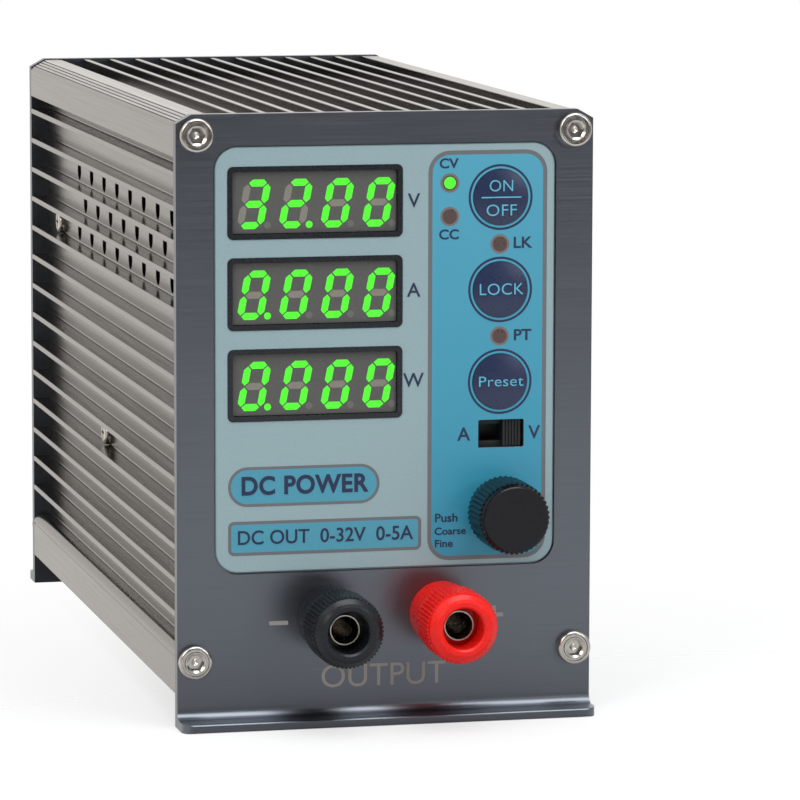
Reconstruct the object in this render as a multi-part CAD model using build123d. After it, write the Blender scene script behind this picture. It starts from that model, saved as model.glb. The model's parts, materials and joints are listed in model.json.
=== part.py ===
from build123d import *
import math
import os

os.makedirs("parts", exist_ok=True)

# Compact bench power supply: a finned aluminium case between two end panels, all sizes in millimetres.
# Working coordinates: X to the right, Y into the case from the front panel's face, Z up from the bench.
# Every solid is moved by FRONT_FACE_Y when it is written, so that the origin is the middle of the footprint.

# Overall
WIDTH = 85.0
HEIGHT = 122.5
DEPTH = 180.0  # from the front panel's face to the rear panel's back
POST_REACH = 19.2  # binding post caps in front of the panel
LIP_REACH = 6.3  # foot lip of each panel
LIP_THICKNESS = 1.85
LIP_FILLET = 2.0
LIP_CORNER = 2.4
PANEL = 2.4
PANEL_CHAMFER_X = 3.2
PANEL_CHAMFER_Z = 1.8
FRONT_FACE_Y = (POST_REACH - DEPTH - LIP_REACH) / 2
HALF = WIDTH / 2
REAR_FACE = DEPTH - PANEL  # inner face of the rear panel

# Finned shell
SHELL_TOP = 122.3
SHELL_BOTTOM = 6.6
FIN = 1.2
FIN_DEPTH = 3.8
SIDE_FINS = 14
SIDE_PITCH = 6.75
FIRST_FIN_TOP = 111.1
TOP_FINS = 11
TOP_PITCH = 5.93
TOP_FIN_DEPTH = 3.9
CORE_HALF = HALF - FIN_DEPTH
WALL = 2.2
CORNER_BLOCK_X = 35.6
CORNER_BLOCK_Z = 113.9
BOTTOM_BLOCK_TOP = 16.5
CREASE = 0.25
CREASE_Z = 14.2
CORNER_ROUND = 1.3
BLOCK_ROUND = 1.8
GROOVES = 4  # fine lines along each chamfered top corner
GROOVE_PITCH = 0.7
TIP_ROUND = 0.2
ROOT_ROUND = 0.4
CAVITY_HALF = CORE_HALF - WALL
CAVITY_TOP = SHELL_TOP - TOP_FIN_DEPTH - WALL
BASE_THICKNESS = 2.0
BASE_BOTTOM = 7.8
BASE_HALF = 37.0
BASE_TOP = BASE_BOTTOM + BASE_THICKNESS
VENT_RADIUS = 2.25
VENT_PITCH = 15.8
VENT_FIRST_Y = 23.8
VENT_COLUMNS = 8
CORNER_SCREWS = [(38.5, 118.4), (39.0, 13.4)]
HEAD_RADIUS = 3.4
HEAD_HEIGHT = 1.8
SCREW_SHANK = 12.0
SEAT_DEPTH = 0.3  # spot face under each side screw's head
SIDE_SCREW_PLACES = [(156.0, 3), (97.5, 9)]  # depth and the channel under which fin

# Label overlay and what comes through it
LABEL_HALF = 34.65
LABEL_BOTTOM = 31.0
LABEL_TOP = 115.9
LABEL_CORNER = 4.5
LABEL_FACE = 0.2
LABEL_THICKNESS = 0.5
LABEL_GAP = 0.3
LABEL_BEVEL = 0.2
LABEL_BACK = LABEL_FACE + LABEL_THICKNESS
DISPLAY_X = -14.35
DISPLAY_ZS = [104.8, 86.7, 68.5]
DISPLAY_SIZE = (35.5, 14.4)
DISPLAY_CORNER = 1.2
BEZEL_WALL = 1.0
DISPLAY_FACE = 0.95
CONTROL_X = 23.5
BUTTON_ZS = {"on_off": 105.1, "lock": 86.55, "preset": 68.0}
BUTTON_RADIUS = 5.6
BUTTON_DOME = 0.55
BUTTON_TRAVEL = 0.4
LEDS = [(13.05, 108.1), (13.05, 101.4), (23.4, 95.7), (23.4, 77.2)]
LED_RADIUS = 1.5
SLIDE_CENTRE = (23.85, 57.45)
SLIDE_WINDOW = (9.5, 5.7)
SLIDE_LEVER = 3.6
SLIDE_LEVER_FACE = 0.9
SLIDE_THROW = 4.6
KNOB_Z = 42.0
KNOB_FRONT = -14.0
KNOB_RADIUS = 7.35
KNOB_FACE_RADIUS = 6.65
KNOB_TEETH = 42
KNOB_BACK = -2.4
KNURL = 0.4  # depth of the grip on the knob and on the binding post caps
ENCODER_PUSH = 0.5
BOARD_FRONT = 10.0  # front face of the display board
BOARD_SPOTS = [(-31.0, 34.0), (7.5, 109.5), (32.5, 110.5), (31.5, 33.0)]
MAIN_SPOT_X = 28.0
BOARD = 1.6

# Binding posts
POST_X = 11.6
POST_Z = 21.3
SOCKET_RADIUS = 2.0
STUD_RADIUS = 3.0
STUD_MOUTH = -14.5
MOUTH_RADIUS = 2.78
MOUTH_DEPTH = 2.2
CAP_RADIUS = 7.35
CAP_BACK = -8.7
CAP_BEVEL = 1.7
CAP_TEETH = 54
CAP_RECESS = 4.15
FLANGE_RADIUS = 6.6
FLANGE_FRONT = CAP_BACK + 1.0
FIT = 0.06

# Main board and rear panel
MAIN_BOARD_Z = 17.5
MAIN_TOP = MAIN_BOARD_Z + BOARD
MAIN_FRONT = 24.0
MAIN_BACK = 150.0
MAIN_HALF = 33.0
INLET_X = -14.0
INLET_Z = 40.0
INLET_BEZEL = (30.0, 36.0)
INLET_BODY = (27.0, 33.0)
COUPLER = (24.4, 16.4)
COUPLER_Z = INLET_Z + 6.0
DRAWER_Z = INLET_Z - 10.5
DRAWER_SIZE = (20.0, 8.4)
ROCKER_X = 22.0
ROCKER_Z = 40.0
ROCKER_BEZEL = (15.0, 21.0)
FAN_Z = 90.0
FAN_SIZE = 40.0
FAN_DEPTH = 10.5
FAN_HOLES = 32.0
FAN_BORE = 19.0


def prism(outline, y_front, y_back):
    """Extrude an outline drawn in X and Z from y_front back to y_back."""
    face = Plane((0, y_front, 0), x_dir=(1, 0, 0), z_dir=(0, -1, 0)) * outline
    return extrude(face, amount=y_back - y_front, dir=(0, 1, 0))


def rod(radius, x, z, y_front, y_back):
    """A round rod along Y."""
    return prism(Pos(x, z) * Circle(radius), y_front, y_back)


def block(x_range, y_range, z_range):
    """A box between two values on each axis."""
    sizes = [high - low for low, high in (x_range, y_range, z_range)]
    middle = [(high + low) / 2 for low, high in (x_range, y_range, z_range)]
    return Pos(*middle) * Box(*sizes)


def slab(x, z, size, y_front, y_back, corner=0.0):
    """A rectangular plate facing the front, with optional round corners."""
    outline = RectangleRounded(*size, corner) if corner else Rectangle(*size)
    return prism(Pos(x, z) * outline, y_front, y_back)


def turned(points, x, z):
    """A solid turned about an axis along Y; the points are (radius, y) pairs."""
    profile = Plane.XY * make_face(Polyline(*points, close=True))
    return Pos(x, 0, z) * revolve(profile, Axis.Y)


def hexagon(across_flats):
    return RegularPolygon(across_flats / math.sqrt(3), 6)


def knurl(radius, depth, teeth):
    """A round outline with straight V teeth."""
    points = []
    for step in range(2 * teeth):
        angle = math.pi * step / teeth
        reach = radius - (step % 2) * depth
        points.append((reach * math.cos(angle), reach * math.sin(angle)))
    return make_face(Polyline(*points, close=True))


def write(name, *solids):
    """Write one sub-part; several solids in one node are identical pieces or halves of one group."""
    placed = [Pos(0, FRONT_FACE_Y, 0) * solid for shape in solids for solid in shape.solids()]
    shape = placed[0] if len(placed) == 1 else Compound(children=placed)
    export_step(shape, f"parts/{name}.step")


def both_sides(solid):
    return [solid, mirror(solid, Plane.YZ)]


def socket_screw():
    """M4 cap screw standing on Z = 0: rolled rim, ring recess and a countersunk hexagon socket."""
    crown = HEAD_HEIGHT
    head = Pos(0, 0, crown / 2) * Cylinder(HEAD_RADIUS, crown)
    head = fillet(head.edges().sort_by(Axis.Z)[-1], 0.55)
    ring_recess = turned_upright([(2.15, crown + 0.1), (2.15, crown - 0.1), (2.3, crown - 0.4),
                                  (2.6, crown - 0.4), (2.75, crown - 0.1), (2.75, crown + 0.1)])
    countersink = turned_upright([(0, crown + 0.1), (2.0, crown + 0.1), (2.0, crown - 0.05), (1.5, crown - 0.35),
                                  (0, crown - 0.35)])
    socket = Pos(0, 0, crown - 1.5) * extrude(hexagon(3.0), amount=1.5)
    drill_point = turned_upright([(0, crown - 1.5), (0.7, crown - 1.5), (0, crown - 1.9)])
    head -= [ring_recess, countersink, socket, drill_point]
    return head + Pos(0, 0, -SCREW_SHANK / 2) * Cylinder(1.98, SCREW_SHANK) - drill_point


def pan_screw(radius, length):
    """M3 pan head screw standing on Z = 0, its head above and its shank below."""
    head = Pos(0, 0, 0.9) * Cylinder(radius, 1.8)
    head = fillet(head.edges().sort_by(Axis.Z)[-1], 0.7)
    slot = Pos(0, 0, 1.6) * (Box(2.6, 0.6, 1.0) + Box(0.6, 2.6, 1.0))
    return head - slot + Pos(0, 0, -length / 2) * Cylinder(1.45, length)


# ---------------------------------------------------------------- case
def channel_middle(fin):
    """Height of the middle of the channel under a side fin."""
    return FIRST_FIN_TOP - FIN - (SIDE_PITCH - FIN) / 2 - fin * SIDE_PITCH


def side_outline():
    """Fins, corner block and bottom block of the right side, without the core."""
    outline = make_face(Polyline(
        (CORNER_BLOCK_X, CORNER_BLOCK_Z), (HALF, CORNER_BLOCK_Z), (HALF, SHELL_TOP - PANEL_CHAMFER_Z),
        (HALF - PANEL_CHAMFER_X, SHELL_TOP), (CORNER_BLOCK_X, SHELL_TOP), close=True))
    outline = fillet(nearest_corners(outline, (HALF, SHELL_TOP - PANEL_CHAMFER_Z),
                                     (HALF - PANEL_CHAMFER_X, SHELL_TOP)), CORNER_ROUND)
    slope = PANEL_CHAMFER_Z / PANEL_CHAMFER_X
    for groove in range(GROOVES):
        inward = (groove + 1) * GROOVE_PITCH
        spot = (HALF - inward, SHELL_TOP - PANEL_CHAMFER_Z + inward * slope)
        outline -= Pos(*spot) * Rot(0, 0, -math.degrees(math.atan(slope))) * Rectangle(0.24, 0.7)
    for fin in range(SIDE_FINS):
        middle = FIRST_FIN_TOP - FIN / 2 - fin * SIDE_PITCH
        outline += Pos(CORE_HALF + FIN_DEPTH / 2 - 0.25, middle) * Rectangle(FIN_DEPTH + 0.5, FIN)
    block_height = BOTTOM_BLOCK_TOP - SHELL_BOTTOM
    outline += Pos(CORE_HALF + FIN_DEPTH / 2 - 0.25, SHELL_BOTTOM + block_height / 2) * Rectangle(
        FIN_DEPTH + 0.5, block_height)
    outline = fillet(nearest_corners(outline, (HALF, BOTTOM_BLOCK_TOP)), BLOCK_ROUND)
    outline = fillet(nearest_corners(outline, (HALF, SHELL_BOTTOM)), TIP_ROUND)
    return outline - Pos(HALF, CREASE_Z) * Rot(0, 0, 45) * Rectangle(CREASE, CREASE)


def nearest_corners(outline, *places):
    """The outline's corner nearest to each (x, z) place."""
    return [outline.vertices().sort_by_distance(place)[0] for place in places]


def shell_outline():
    core_height = SHELL_TOP - TOP_FIN_DEPTH - SHELL_BOTTOM
    outline = Pos(0, SHELL_BOTTOM + core_height / 2) * Rectangle(2 * CORE_HALF, core_height)
    right = side_outline()
    outline += right + mirror(right, Plane.YZ)
    for fin in range(TOP_FINS):
        x = (fin - (TOP_FINS - 1) / 2) * TOP_PITCH
        outline += Pos(x, SHELL_TOP - TOP_FIN_DEPTH / 2 - 0.25) * Rectangle(FIN, TOP_FIN_DEPTH + 0.5)
    roots = channel_corners(outline, CORE_HALF, SHELL_TOP - TOP_FIN_DEPTH, BOTTOM_BLOCK_TOP)
    outline = fillet(roots, ROOT_ROUND)
    return fillet(channel_corners(outline, HALF, SHELL_TOP, BOTTOM_BLOCK_TOP + FIN), TIP_ROUND)


def channel_corners(outline, x_reach, z_reach, lowest):
    """Corners of the side channels at x_reach, down to lowest, and of the top channels at z_reach."""
    corners = []
    for corner in outline.vertices():
        at_side = abs(abs(corner.X) - x_reach) < 0.01 and lowest - 0.1 < corner.Y < CORNER_BLOCK_Z + 0.1
        at_top = abs(corner.Y - z_reach) < 0.01 and abs(corner.X) < CORNER_BLOCK_X + 0.1
        if at_side or at_top:
            corners.append(corner)
    return corners


def case_shell():
    """Inverted U extrusion, fins outside, rails for the base plate inside."""
    outline = shell_outline()
    cavity_height = CAVITY_TOP - SHELL_BOTTOM + 1
    outline -= Pos(0, CAVITY_TOP - cavity_height / 2) * Rectangle(2 * CAVITY_HALF, cavity_height)
    outline -= Pos(0, BASE_BOTTOM + BASE_THICKNESS / 2) * Rectangle(2 * BASE_HALF + 0.2, BASE_THICKNESS + 0.2)
    shell = prism(outline, PANEL, REAR_FACE)
    for x, z in CORNER_SCREWS:
        for side in (-1, 1):
            shell -= rod(2.02, side * x, z, PANEL, PANEL + 14)
            shell -= rod(2.02, side * x, z, REAR_FACE - 14, REAR_FACE)
    holes = []
    for row in range(3):
        columns = VENT_COLUMNS - row % 2
        for column in range(columns):
            y = VENT_FIRST_Y + (column + row % 2 / 2) * VENT_PITCH
            holes.append(Pos(0, y, channel_middle(row + 1)) * Rot(0, 90, 0) * Cylinder(VENT_RADIUS, WIDTH))
    for y, fin in SIDE_SCREW_PLACES:
        axis = Pos(0, y, channel_middle(fin)) * Rot(0, 90, 0)
        seat = Cylinder(2.72, WIDTH) - Cylinder(3, 2 * (CORE_HALF - SEAT_DEPTH))
        holes += [axis * Cylinder(1.6, WIDTH), axis * seat]
    return shell - holes


def panel_blank():
    """L shaped panel of the front: upright plate, foot lip towards -Y, and cut top corners."""
    profile = make_face(Polyline(
        (-LIP_REACH, 0), (PANEL, 0), (PANEL, HEIGHT), (0, HEIGHT),
        (0, LIP_THICKNESS), (-LIP_REACH, LIP_THICKNESS), close=True))
    inner = profile.vertices().sort_by_distance((0, LIP_THICKNESS))[0]
    profile = fillet(inner, LIP_FILLET)
    toes = [profile.vertices().sort_by_distance((-LIP_REACH, z))[0] for z in (0, LIP_THICKNESS)]
    profile = fillet(toes, 0.5)
    blank = extrude(Plane((-HALF, 0, 0), x_dir=(0, 1, 0), z_dir=(1, 0, 0)) * profile, amount=WIDTH)
    plan = RectangleRounded(WIDTH, 2 * LIP_REACH + 2 * PANEL, LIP_CORNER)
    blank &= extrude(Pos(0, PANEL) * plan, amount=LIP_THICKNESS) + block(
        (-HALF, HALF), (-LIP_REACH, PANEL), (LIP_THICKNESS, HEIGHT))
    cut = make_face(Polyline(
        (HALF - PANEL_CHAMFER_X, HEIGHT), (HALF + 1, HEIGHT), (HALF + 1, HEIGHT - PANEL_CHAMFER_Z),
        (HALF, HEIGHT - PANEL_CHAMFER_Z), close=True))
    for side in both_sides(prism(cut, -1, PANEL + 1)):
        blank -= side
    for x, z in CORNER_SCREWS:
        for side in (-1, 1):
            blank -= rod(2.15, side * x, z, -1, PANEL + 1)
    return blank


def label_openings(y_front, y_back):
    """Everything that comes through the overlay, as cutters."""
    cutters = [slab(DISPLAY_X, z, [side + 0.1 for side in DISPLAY_SIZE], y_front, y_back, DISPLAY_CORNER)
               for z in DISPLAY_ZS]
    cutters += [rod(BUTTON_RADIUS + 0.1, CONTROL_X, z, y_front, y_back) for z in BUTTON_ZS.values()]
    cutters += [rod(LED_RADIUS + 0.05, x, z, y_front, y_back) for x, z in LEDS]
    cutters.append(slab(*SLIDE_CENTRE, SLIDE_WINDOW, y_front, y_back, 0.4))
    cutters.append(rod(3.6, CONTROL_X, KNOB_Z, y_front, y_back))
    return cutters


def label_outline(margin):
    width = 2 * (LABEL_HALF + margin)
    height = LABEL_TOP - LABEL_BOTTOM + 2 * margin
    return Pos(0, (LABEL_TOP + LABEL_BOTTOM) / 2) * RectangleRounded(width, height, LABEL_CORNER + margin)


def front_panel():
    panel = panel_blank() - prism(label_outline(LABEL_GAP), -1, LABEL_BACK)
    panel -= label_openings(-1, PANEL + 1)
    for side in (-1, 1):
        panel -= rod(4.1, side * POST_X, POST_Z, -1, PANEL + 1)
    return panel


def label_overlay():
    """Printed sheet with a bevelled outer edge."""
    overlay = prism(label_outline(0), LABEL_FACE, LABEL_BACK)
    overlay = chamfer(overlay.faces().sort_by(Axis.Y)[0].edges(), LABEL_BEVEL)
    return overlay - label_openings(-1, PANEL)


def rear_panel():
    panel = Pos(0, DEPTH, 0) * mirror(panel_blank(), Plane.XZ)
    low, high = REAR_FACE - 1, DEPTH + 1
    panel -= rod(FAN_BORE - 0.5, 0, FAN_Z, low, high)
    panel -= [rod(1.7, x, z, low, high) for x, z in fan_spots()]
    panel -= slab(INLET_X, INLET_Z, [side + 0.2 for side in INLET_BODY], low, high, 2)
    panel -= slab(ROCKER_X, ROCKER_Z, (13.2, 19.2), low, high, 0.5)
    return panel


def base_plate():
    return block((-BASE_HALF, BASE_HALF), (PANEL + 0.1, REAR_FACE - 0.1), (BASE_BOTTOM, BASE_TOP))


# ---------------------------------------------------------------- front panel pieces
def display_bezel(z):
    inner = [side - 2 * BEZEL_WALL for side in DISPLAY_SIZE]
    ring = slab(DISPLAY_X, z, DISPLAY_SIZE, 0.05, PANEL, DISPLAY_CORNER)
    return ring - slab(DISPLAY_X, z, inner, -1, PANEL + 1, 0.5)


def display_module(z):
    face = [side - 2 * BEZEL_WALL - 0.2 for side in DISPLAY_SIZE]
    return slab(DISPLAY_X, z, face, DISPLAY_FACE, BOARD_FRONT, 0.4)


def led(x, z):
    """Round indicator with a collar, standing on the display board."""
    return rod(LED_RADIUS, x, z, 0.1, 6) + rod(1.9, x, z, 2.8, 6) + slab(x, z, (3.0, 3.0), 6, BOARD_FRONT)


def button(z):
    """Domed key disc with a stem that reaches its tactile switch."""
    dome = BUTTON_DOME
    sphere = (BUTTON_RADIUS**2 + dome**2) / (2 * dome)
    disc = rod(BUTTON_RADIUS, CONTROL_X, z, -dome, 2.2)
    disc &= Pos(CONTROL_X, sphere - dome, z) * Sphere(sphere)
    edge = rod(BUTTON_RADIUS, CONTROL_X, z, 0.2, 2.2)
    return disc + edge + rod(BUTTON_RADIUS + 1.0, CONTROL_X, z, 2.75, 3.6) + rod(
        BUTTON_RADIUS - 0.6, CONTROL_X, z, 2.2, 2.75) + rod(2.0, CONTROL_X, z, 3.6, 5.9)


def tactile_switch(z):
    body = slab(CONTROL_X, z, (6.0, 6.0), 6.6, BOARD_FRONT, 0.3)
    return body - rod(1.8, CONTROL_X, z, 6.0, 8.4)


def tactile_plunger(z):
    return rod(1.72, CONTROL_X, z, 5.9, 7.8)


def slide_switch_body():
    x, z = SLIDE_CENTRE
    body = slab(x, z, (13.0, 7.4), PANEL + 0.2, BOARD_FRONT - 1.2, 0.3)
    slot = SLIDE_THROW + SLIDE_LEVER + 0.4
    pins = [rod(0.4, x + step, z, BOARD_FRONT - 1.2, BOARD_FRONT) for step in (-2.5, 0, 2.5)]
    return body - slab(x, z, (slot, 3.4), 0, 7.0) + pins


def switch_lever():
    """Recessed lever at the right hand (V) end of its window, with fine vertical ribs."""
    x, z = SLIDE_CENTRE[0] + SLIDE_THROW / 2, SLIDE_CENTRE[1]
    lever = slab(x, z, (SLIDE_LEVER, SLIDE_WINDOW[1] - 0.4), SLIDE_LEVER_FACE, PANEL, 0.15)
    for rib in range(5):
        lever -= slab(x + (rib - 2) * 0.62, z, (0.25, SLIDE_WINDOW[1]), 0, SLIDE_LEVER_FACE + 0.3)
    return lever + slab(x, z, (SLIDE_LEVER - 0.2, 3.2), PANEL, 6.6)


def encoder_body():
    body = slab(CONTROL_X, KNOB_Z, (12.0, 12.0), PANEL + 0.1, BOARD_FRONT - 1.0, 0.4)
    body += rod(3.5, CONTROL_X, KNOB_Z, -3.5, PANEL + 0.1)
    body -= rod(STUD_RADIUS + FIT, CONTROL_X, KNOB_Z, -4, BOARD_FRONT - 1.5)
    pins = [rod(0.4, CONTROL_X + step, KNOB_Z - 4.5, BOARD_FRONT - 1, BOARD_FRONT) for step in (-2.5, 0, 2.5)]
    return body + pins


def encoder_nut():
    nut = prism(Pos(CONTROL_X, KNOB_Z) * hexagon(10), -1.8, LABEL_FACE)
    return nut - rod(3.5, CONTROL_X, KNOB_Z, -3, 1)


def encoder_shaft():
    shaft = rod(STUD_RADIUS, CONTROL_X, KNOB_Z, -11.7, 6.8)
    return shaft - block((CONTROL_X + 1.5, CONTROL_X + 4), (-12, -5), (KNOB_Z - 4, KNOB_Z + 4))


def encoder_slider():
    """Round follower behind the shaft that presses the push contact and does not turn."""
    return rod(2.9, CONTROL_X, KNOB_Z, 6.85, 7.6)


def control_knob():
    """Knob with a rimmed face, a smooth bevel behind a groove, a knurled grip and a hollow back."""
    grip_front = KNOB_FRONT + 1.9
    body = turned(
        [(0, KNOB_FRONT), (KNOB_FACE_RADIUS - 0.25, KNOB_FRONT), (KNOB_FACE_RADIUS, KNOB_FRONT + 0.25),
         (KNOB_FACE_RADIUS, KNOB_FRONT + 0.45), (KNOB_FACE_RADIUS - 0.2, KNOB_FRONT + 0.55),
         (KNOB_FACE_RADIUS - 0.2, KNOB_FRONT + 0.7), (KNOB_FACE_RADIUS + 0.05, KNOB_FRONT + 0.7),
         (KNOB_RADIUS - KNURL, grip_front), (KNOB_RADIUS - KNURL, KNOB_BACK), (0, KNOB_BACK)],
        CONTROL_X, KNOB_Z)
    body += knurled_band(KNOB_RADIUS, KNOB_TEETH, CONTROL_X, KNOB_Z, grip_front, KNOB_BACK)
    body -= rod(6.2, CONTROL_X, KNOB_Z, -4.5, 0)
    bore = rod(STUD_RADIUS, CONTROL_X, KNOB_Z, -11.7, 0)
    return body - (bore - block((CONTROL_X + 1.5, CONTROL_X + 4), (-12, -5), (KNOB_Z - 4, KNOB_Z + 4)))


def knurled_band(radius, teeth, x, z, y_front, y_back):
    """Ring of straight teeth with small bevels at both ends."""
    ring = turned([(radius - 2, y_front), (radius - 0.1, y_front), (radius, y_front + 0.3),
                   (radius, y_back - 0.5), (radius - KNURL, y_back), (radius - 2, y_back)], x, z)
    return ring & prism(Pos(x, z) * knurl(radius + 0.02, KNURL + 0.05, teeth), y_front, y_back)


# ---------------------------------------------------------------- binding posts
def post_cap(x):
    """Insulated nut: a knurled band behind a smooth bevel, and a wide front recess round the socket."""
    front = -POST_REACH
    smooth, crown = CAP_RADIUS - KNURL, front + CAP_BEVEL
    body = turned(
        [(CAP_RECESS + 0.4, front), (smooth - 1.6, front), (smooth - 1.0, front + 0.3), (smooth - 0.15, crown - 0.6),
         (smooth, crown), (smooth, CAP_BACK), (STUD_RADIUS + FIT, CAP_BACK), (STUD_RADIUS + FIT, -12.5),
         (CAP_RECESS, -12.5), (CAP_RECESS, front + 0.4)], x, POST_Z)
    return body + knurled_band(CAP_RADIUS, CAP_TEETH, x, POST_Z, crown, CAP_BACK)


def post_washer(x):
    """Loose pressure washer that follows the cap along the stud."""
    return rod(5.4, x, POST_Z, CAP_BACK + 0.1, CAP_BACK + 0.9) - rod(
        STUD_RADIUS + FIT, x, POST_Z, CAP_BACK, FLANGE_FRONT)


def post_insulator(x):
    outer = turned(
        [(0, FLANGE_FRONT), (FLANGE_RADIUS - 0.8, FLANGE_FRONT), (FLANGE_RADIUS, FLANGE_FRONT + 0.8),
         (FLANGE_RADIUS, 0), (4.0, 0), (4.0, PANEL), (0, PANEL)], x, POST_Z)
    return outer - rod(STUD_RADIUS, x, POST_Z, FLANGE_FRONT - 1, 8)


def post_stud(x):
    """Plated brass stud with the 4 mm socket and its countersunk mouth in the front end."""
    mouth = turned([(0, STUD_MOUTH - 1), (MOUTH_RADIUS, STUD_MOUTH - 1), (MOUTH_RADIUS, STUD_MOUTH),
                    (SOCKET_RADIUS, STUD_MOUTH + MOUTH_DEPTH), (0, STUD_MOUTH + MOUTH_DEPTH)], x, POST_Z)
    return rod(STUD_RADIUS, x, POST_Z, STUD_MOUTH, 14) - rod(SOCKET_RADIUS, x, POST_Z, STUD_MOUTH, 5) - mouth


def post_backing(x):
    return rod(6.4, x, POST_Z, PANEL, PANEL + 2) - rod(STUD_RADIUS, x, POST_Z, 0, 8)


def post_nut(x, y):
    return prism(Pos(x, POST_Z) * hexagon(10), y, y + 2.8) - rod(STUD_RADIUS, x, POST_Z, y - 1, y + 4)


def post_tag(x):
    """Solder tag: a ring with a tongue that points down and inward."""
    y = PANEL + 4.8
    ring = prism(Pos(x, POST_Z) * (Circle(4.6) + Pos(0, -5) * Rectangle(3.4, 6)), y, y + 0.8)
    return ring - rod(STUD_RADIUS, x, POST_Z, 0, 12)


# ---------------------------------------------------------------- boards and their parts
def display_board():
    board = slab(0, 71.5, (71.0, 84.0), BOARD_FRONT, BOARD_FRONT + BOARD, 1.5)
    return board - [rod(1.55, x, z, BOARD_FRONT - 1, BOARD_FRONT + 3) for x, z in BOARD_SPOTS]


def board_spacers():
    return [rod(2.8, x, z, PANEL, BOARD_FRONT) - rod(1.5, x, z, PANEL + 1, BOARD_FRONT + 1)
            for x, z in BOARD_SPOTS]


def pan_screws():
    """M3 pan head screws of both boards and of the heat spreaders."""
    back = BOARD_FRONT + BOARD
    screws = [Pos(x, back, z) * Rot(-90, 0, 0) * pan_screw(2.6, 5.2) for x, z in BOARD_SPOTS]
    screws += [Pos(x, y, MAIN_TOP) * pan_screw(2.6, 5.2) for x, y in main_spots()]
    for y, fin in SIDE_SCREW_PLACES:
        place = Pos(CORE_HALF - SEAT_DEPTH, y, channel_middle(fin)) * Rot(0, 90, 0)
        screws += both_sides(place * pan_screw(2.6, 5.2))
    return screws


def main_spots():
    """Screw places of the main board."""
    return [(x, y) for x in (-MAIN_SPOT_X, MAIN_SPOT_X) for y in (MAIN_FRONT + 5, MAIN_BACK - 5)]


def main_board():
    board = block((-MAIN_HALF, MAIN_HALF), (MAIN_FRONT, MAIN_BACK), (MAIN_BOARD_Z, MAIN_TOP))
    return board - [Pos(x, y, MAIN_TOP) * Cylinder(1.55, 8) for x, y in main_spots()]


def board_standoffs():
    height = MAIN_BOARD_Z - BASE_TOP
    post = Pos(0, 0, BASE_TOP + height / 2) * (Cylinder(3, height) - Cylinder(1.5, height))
    return [Pos(x, y, 0) * post for x, y in main_spots()]


TRANSFORMER_Y = 78.0
TRANSFORMER_Z = MAIN_TOP + 18.0


def transformer_core():
    """Closed ferrite E core standing on edge."""
    core = Box(12, 36, 34)
    for side in (-1, 1):
        core -= Pos(0, side * 9.5, 0) * Box(14, 7, 22)
    return Pos(0, TRANSFORMER_Y, TRANSFORMER_Z) * core


def transformer_winding():
    """Bobbin and taped winding round the core's middle leg."""
    outer = extrude(RectangleRounded(26, 25.6, 3), amount=10.9, both=True)
    return Pos(0, TRANSFORMER_Y, TRANSFORMER_Z) * (outer - Box(12.05, 12.05, 30))


def capacitor(radius, height, x, y):
    """Upright can with a crimped groove near its foot."""
    can = turned_upright([(0, 0), (radius, 0), (radius, 1.6), (radius - 0.5, 2.2), (radius, 2.8),
                          (radius, height - 0.6), (radius - 0.6, height), (0, height)])
    return Pos(x, y, MAIN_TOP) * can


def turned_upright(points):
    """A solid turned about Z; the points are (radius, z) pairs."""
    return revolve(Plane.XZ * make_face(Polyline(*points, close=True)), Axis.Z)


def filter_choke():
    ring = Rot(90, 0, 0) * Torus(8.0, 3.6)
    return Pos(-17, 44, MAIN_TOP + 11.65) * ring


def bridge_rectifier():
    body = block((-12, 12), (134, 138.5), (MAIN_TOP + 4, MAIN_TOP + 20))
    legs = [block((x - 0.5, x + 0.5), (135.8, 136.8), (MAIN_TOP, MAIN_TOP + 4)) for x in (-7.5, -2.5, 2.5, 7.5)]
    return body + legs


SPREADER_INNER = CAVITY_HALF - 3.0
SPREADER_Y = (90.0, 168.0)
SPREADER_Z = (38.0, 96.0)
TRANSISTOR_YS = [106.0, 128.0]


def heat_spreaders():
    plate = block((SPREADER_INNER, CAVITY_HALF), SPREADER_Y, SPREADER_Z)
    for y, fin in SIDE_SCREW_PLACES:
        plate -= Pos(SPREADER_INNER, y, channel_middle(fin)) * Rot(0, 90, 0) * Cylinder(1.45, 10)
    return both_sides(plate)


def power_transistors():
    """Insulated flat packages against the spreaders, with three legs down to the main board."""
    inner = SPREADER_INNER
    parts = []
    for y in TRANSISTOR_YS:
        part = block((inner - 4.8, inner), (y - 8, y + 8), (57, 78))
        for step in (-5.4, 0, 5.4):
            part += block((inner - 3.0, inner - 2.2), (y + step - 0.6, y + step + 0.6), (MAIN_TOP, 57))
        parts += both_sides(part)
    return parts


# ---------------------------------------------------------------- rear panel pieces
def coupler_outline(margin):
    """Cold appliance inlet outline: a rectangle with its two lower corners cut."""
    half, tall = COUPLER[0] / 2 + margin, COUPLER[1] / 2 + margin
    cut = 4.2
    return Pos(INLET_X, COUPLER_Z) * make_face(Polyline(
        (-half, tall), (half, tall), (half, cut - tall), (half - cut, -tall), (cut - half, -tall),
        (-half, cut - tall), close=True))


def mains_inlet():
    bezel = slab(INLET_X, INLET_Z, INLET_BEZEL, DEPTH, DEPTH + 2.2, 2.5)
    body = slab(INLET_X, INLET_Z, INLET_BODY, 158, DEPTH, 2)
    cavity = prism(coupler_outline(0), 163, DEPTH + 3)
    drawer = slab(INLET_X, DRAWER_Z, [side + 0.4 for side in DRAWER_SIZE], 159.5, DEPTH + 3, 0.4)
    return bezel + body - cavity - drawer - inlet_pins()


PIN_SPOTS = [(0, 3.0), (-7.0, -1.5), (7.0, -1.5)]


def inlet_pins():
    """Flat contact blades: earth on top, live and neutral below."""
    return [slab(INLET_X + x, COUPLER_Z + z, (2.0, 4.0), 155, DEPTH - 5.0, 0.3) for x, z in PIN_SPOTS]


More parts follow.
